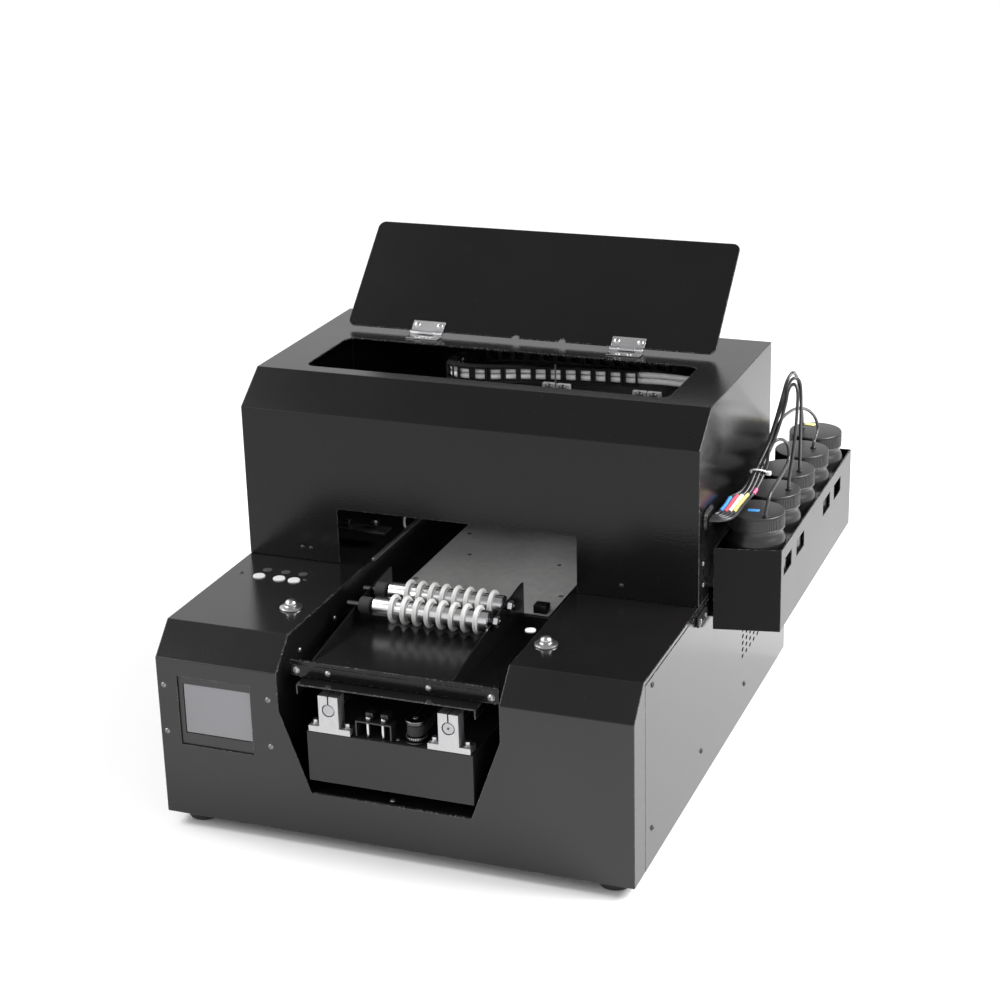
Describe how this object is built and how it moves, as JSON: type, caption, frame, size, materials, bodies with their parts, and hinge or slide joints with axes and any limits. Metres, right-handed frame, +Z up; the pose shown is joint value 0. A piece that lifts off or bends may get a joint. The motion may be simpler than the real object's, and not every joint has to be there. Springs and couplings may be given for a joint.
{
  "type": "flatbed uv printer",
  "caption": "Benchtop flatbed UV printer with lifting stage, sliding bed with rotary cradle, hinged hood lid, and side tray of ink bottles.",
  "frame": {"origin": "centre of the footprint, casing and ink tray together, on the surface that the feet stand on", "axes": "+Z up, +Y from the front face to the back, +X towards the ink tray"},
  "size_m": [0.538, 0.549, 0.4811],
  "materials": {
    "powder_black": "satin, fine texture",
    "stage_grey": "satin",
    "table_gloss": "gloss",
    "aluminium_satin": "satin",
    "polished_steel": "polished",
    "foot_rubber": "matte",
    "button_white": "semi-gloss",
    "moulded_black": "satin",
    "tube_black": "satin",
    "screen_glass": "gloss"
  },
  "bodies": {
    "casing": {"front_cover": "powder_black", "base_plate": "powder_black", "left_side_panel": "powder_black", "right_side_panel": "powder_black", "rear_panel": "powder_black", "left_channel_wall": "powder_black", "right_channel_wall": "powder_black", "channel_floor": "powder_black", "hood_shell": "powder_black", "ink_tray": "powder_black", "carriage_beam": "aluminium_satin", "left_hood_hinge_leaf": "polished_steel", "right_hood_hinge_leaf": "polished_steel", "foot_front_left": "foot_rubber", "foot_front_right": "foot_rubber", "foot_rear_left": "foot_rubber", "foot_rear_right": "foot_rubber", "tube_grommet": "foot_rubber", "display_bezel": "moulded_black", "drag_chain": "moulded_black", "ink_bottle_1": "moulded_black", "ink_bottle_2": "moulded_black", "ink_bottle_3": "moulded_black", "ink_bottle_4": "moulded_black", "ink_bottle_5": "moulded_black", "bottle_cap_1": "moulded_black", "bottle_cap_2": "moulded_black", "bottle_cap_3": "moulded_black", "bottle_cap_4": "moulded_black", "bottle_cap_5": "moulded_black", "ink_tube_1": "tube_black", "ink_tube_2": "tube_black", "ink_tube_3": "tube_black", "ink_tube_4": "tube_black", "ink_tube_5": "tube_black", "display_screen": "screen_glass"},
    "stage": {"stage_frame": "stage_grey", "left_shaft_support": "aluminium_satin", "right_shaft_support": "aluminium_satin", "left_shaft": "polished_steel", "right_shaft": "polished_steel", "rear_shaft_block": "aluminium_satin", "limit_sensor": "moulded_black"},
    "idler": {"belt_idler": "polished_steel"},
    "bed": {"bed_under_plate": "powder_black", "left_bearing_block": "aluminium_satin", "right_bearing_block": "aluminium_satin", "bed_tray": "powder_black", "rotary_cradle": "table_gloss"},
    "front_roller": {"front_roller": "polished_steel"},
    "rear_roller": {"rear_roller": "polished_steel"},
    "carriage": {"print_carriage": "moulded_black", "uv_lamp": "aluminium_satin"},
    "lid": {"lid_panel": "powder_black", "left_lid_hinge_leaf": "polished_steel", "right_lid_hinge_leaf": "polished_steel"},
    "button_1": {"control_button_1": "button_white"},
    "button_2": {"control_button_2": "button_white"},
    "button_3": {"control_button_3": "button_white"},
    "switch": {"power_switch": "moulded_black"}
  },
  "joints": [
    {"name": "stage_lift", "type": "slide", "parent": "casing", "child": "stage", "axis": [0, 0, 1], "range_m": [0, 0.028]},
    {"name": "bed_travel", "type": "slide", "parent": "stage", "child": "bed", "axis": [0, 1, 0], "range_m": [-0.2, 0.11]},
    {"name": "idler_spin", "type": "hinge", "parent": "stage", "child": "idler", "pos_m": [-0.012, -0.258, 0.131], "axis": [0, 0, 1], "continuous": true},
    {"name": "front_roller_spin", "type": "hinge", "parent": "bed", "child": "front_roller", "pos_m": [-0.0465, -0.1525, 0.198], "axis": [1, 0, 0], "continuous": true},
    {"name": "rear_roller_spin", "type": "hinge", "parent": "bed", "child": "rear_roller", "pos_m": [-0.0465, -0.1145, 0.198], "axis": [1, 0, 0], "continuous": true},
    {"name": "carriage_travel", "type": "slide", "parent": "casing", "child": "carriage", "axis": [-1, 0, 0], "range_m": [0, 0.28]},
    {"name": "lid_hinge", "type": "hinge", "parent": "casing", "child": "lid", "pos_m": [-0.038, 0.114, 0.3905], "axis": [1, 0, 0], "range_deg": [0, 136.5]},
    {"name": "button_1_press", "type": "slide", "parent": "casing", "child": "button_1", "axis": [0, 0, -1], "range_m": [0, 0.0012], "stiffness_N_per_m": 300, "springref_m": -0.001},
    {"name": "button_2_press", "type": "slide", "parent": "casing", "child": "button_2", "axis": [0, 0, -1], "range_m": [0, 0.0012], "stiffness_N_per_m": 300, "springref_m": -0.001},
    {"name": "button_3_press", "type": "slide", "parent": "casing", "child": "button_3", "axis": [0, 0, -1], "range_m": [0, 0.0012], "stiffness_N_per_m": 300, "springref_m": -0.001},
    {"name": "switch_rock", "type": "hinge", "parent": "casing", "child": "switch", "pos_m": [0.156, 0.2655, 0.082], "axis": [1, 0, 0], "range_deg": [-6, 6]}
  ],
  "couplings": [
    {"joint": "idler_spin", "follows": "bed_travel", "rad_per_m": -133.3},
    {"joint": "rear_roller_spin", "follows": "front_roller_spin", "ratio": 1}
  ]
}
